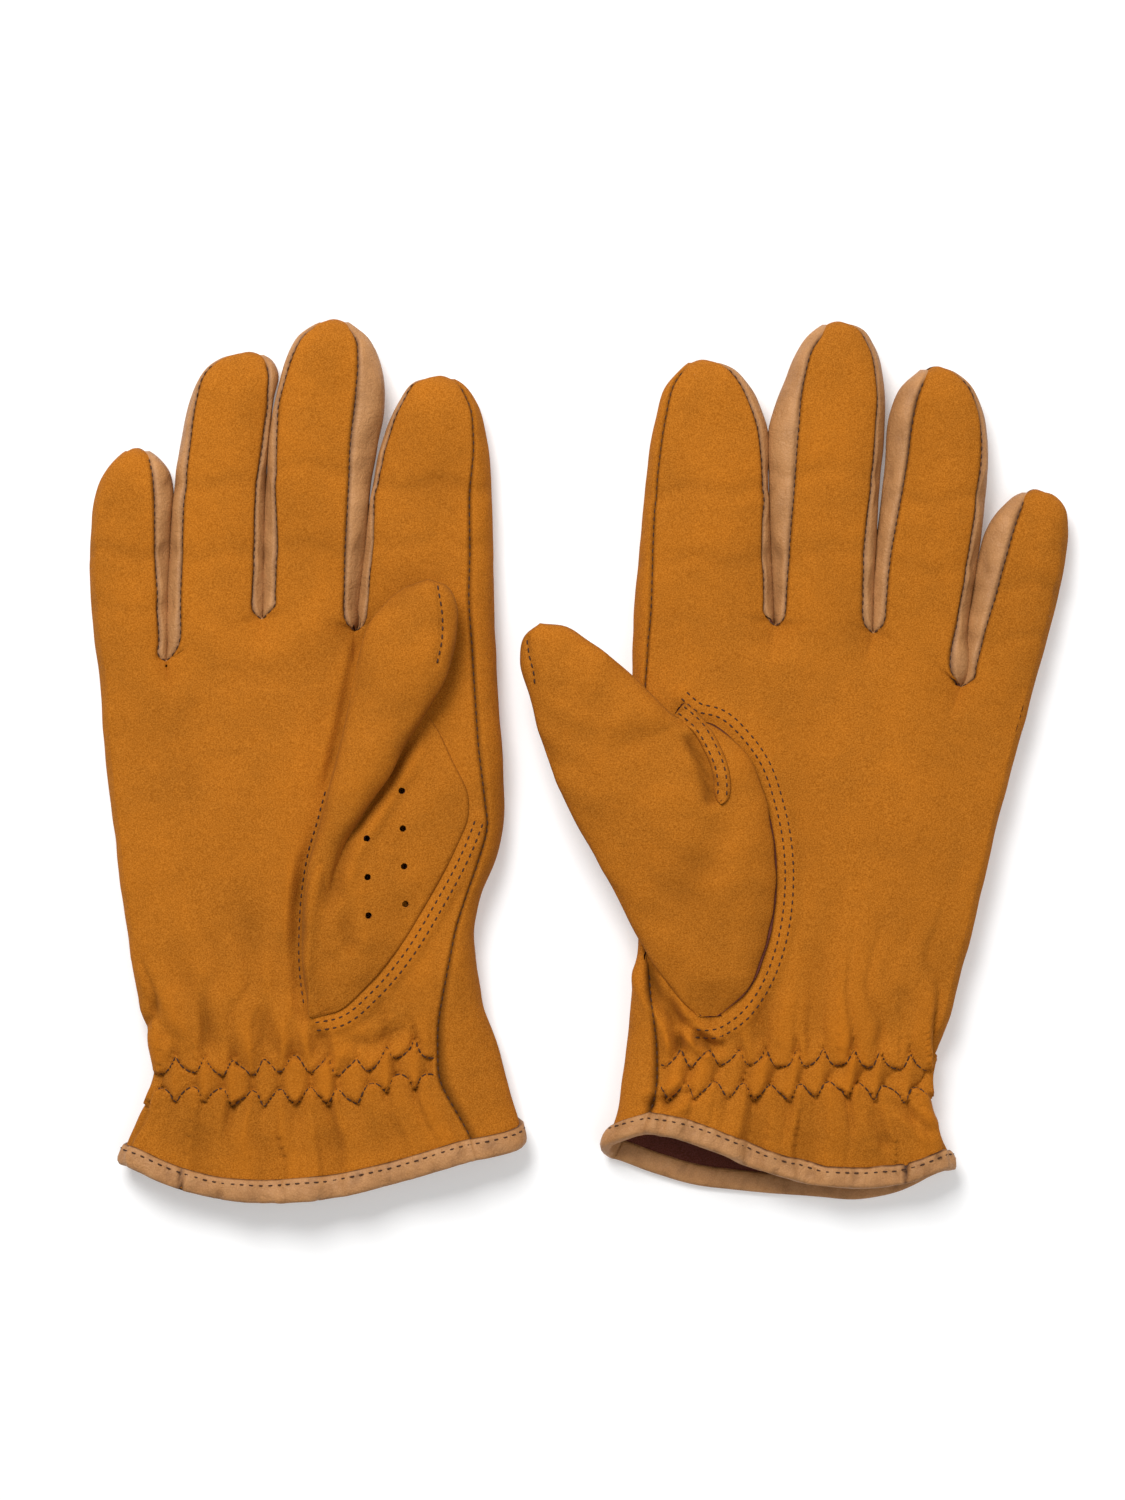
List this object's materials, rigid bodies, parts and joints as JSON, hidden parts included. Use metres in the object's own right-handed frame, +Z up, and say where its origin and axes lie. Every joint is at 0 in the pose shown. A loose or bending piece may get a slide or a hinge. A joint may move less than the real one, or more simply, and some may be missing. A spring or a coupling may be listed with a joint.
{
  "type": "dress gloves",
  "caption": "Dress gloves in tan nubuck with smooth leather fourchettes and cuff binding, elastic wrist shirring, vented thumbs and hollow fingers that curl.",
  "frame": {"origin": "middle of the pair's box, on the surface that the gloves lie on", "axes": "+Z up from the palms, +Y along the fingers, +X from the right-hand glove to the left-hand one"},
  "size_m": [0.2738, 0.2492, 0.0267],
  "materials": {
    "nubuck": "matt, softly napped",
    "smooth_leather": "satin, fine grain",
    "thread": "twisted sewing thread",
    "elastic": "woven elastic"
  },
  "bodies": {
    "right_palm": {"right_palm_panel": "nubuck", "right_back_panel": "nubuck", "right_thumb_base": "nubuck", "right_elastic_band": "elastic", "right_cuff_binding": "smooth_leather", "right_binding_thread": "thread", "right_shirring_thread": "thread", "right_thumb_thread": "thread"},
    "right_thumb": {"right_thumb_front": "nubuck", "right_thumb_back": "nubuck"},
    "right_index": {"right_index_front": "nubuck", "right_index_back": "nubuck", "right_index_fourchette": "smooth_leather"},
    "right_middle": {"right_middle_front": "nubuck", "right_middle_back": "nubuck", "right_middle_fourchette_inner": "smooth_leather", "right_middle_fourchette_outer": "smooth_leather"},
    "right_ring": {"right_ring_front": "nubuck", "right_ring_back": "nubuck", "right_ring_fourchette_inner": "smooth_leather", "right_ring_fourchette_outer": "smooth_leather"},
    "right_little": {"right_little_front": "nubuck", "right_little_back": "nubuck", "right_little_fourchette": "smooth_leather"},
    "left_palm": {"left_palm_panel": "nubuck", "left_back_panel": "nubuck", "left_thumb_base": "nubuck", "left_elastic_band": "elastic", "left_cuff_binding": "smooth_leather", "left_binding_thread": "thread", "left_shirring_thread": "thread", "left_thumb_thread": "thread"},
    "left_thumb": {"left_thumb_front": "nubuck", "left_thumb_back": "nubuck"},
    "left_index": {"left_index_front": "nubuck", "left_index_back": "nubuck", "left_index_fourchette": "smooth_leather"},
    "left_middle": {"left_middle_front": "nubuck", "left_middle_back": "nubuck", "left_middle_fourchette_inner": "smooth_leather", "left_middle_fourchette_outer": "smooth_leather"},
    "left_ring": {"left_ring_front": "nubuck", "left_ring_back": "nubuck", "left_ring_fourchette_inner": "smooth_leather", "left_ring_fourchette_outer": "smooth_leather"},
    "left_little": {"left_little_front": "nubuck", "left_little_back": "nubuck", "left_little_fourchette": "smooth_leather"}
  },
  "joints": [
    {"name": "right_index_curl", "type": "hinge", "parent": "right_palm", "child": "right_index", "pos_m": [-0.0435, 0.0564, 0.0065], "axis": [1, 0, 0], "range_deg": [0, 80]},
    {"name": "right_middle_curl", "type": "hinge", "parent": "right_palm", "child": "right_middle", "pos_m": [-0.0765, 0.0494, 0.0065], "axis": [1, 0, 0], "range_deg": [0, 80]},
    {"name": "right_ring_curl", "type": "hinge", "parent": "right_palm", "child": "right_ring", "pos_m": [-0.1032, 0.0494, 0.0065], "axis": [1, 0, 0], "range_deg": [0, 80]},
    {"name": "right_little_curl", "type": "hinge", "parent": "right_palm", "child": "right_little", "pos_m": [-0.1264, 0.0384, 0.0065], "axis": [1, 0, 0], "range_deg": [0, 80]},
    {"name": "right_thumb_lift", "type": "hinge", "parent": "right_palm", "child": "right_thumb", "pos_m": [-0.0535, 0.0124, 0.0212], "axis": [1, 0, 0], "range_deg": [0, 75]},
    {"name": "left_index_curl", "type": "hinge", "parent": "left_palm", "child": "left_index", "pos_m": [0.0346, 0.0479, 0.0065], "axis": [1, 0, 0], "range_deg": [0, 80]},
    {"name": "left_middle_curl", "type": "hinge", "parent": "left_palm", "child": "left_middle", "pos_m": [0.0677, 0.0479, 0.0065], "axis": [1, 0, 0], "range_deg": [0, 80]},
    {"name": "left_ring_curl", "type": "hinge", "parent": "left_palm", "child": "left_ring", "pos_m": [0.0936, 0.0459, 0.0065], "axis": [1, 0, 0], "range_deg": [0, 80]},
    {"name": "left_little_curl", "type": "hinge", "parent": "left_palm", "child": "left_little", "pos_m": [0.1167, 0.0309, 0.0065], "axis": [1, 0, 0], "range_deg": [0, 80]},
    {"name": "left_thumb_lift", "type": "hinge", "parent": "left_palm", "child": "left_thumb", "pos_m": [0.0159, -0.0106, 0.0212], "axis": [1, 0, 0], "range_deg": [0, 75]},
    {"name": "left_glove_lift", "type": "slide", "parent": "right_palm", "child": "left_palm", "axis": [0, 0, 1], "range_m": [0, 0.15]}
  ]
}
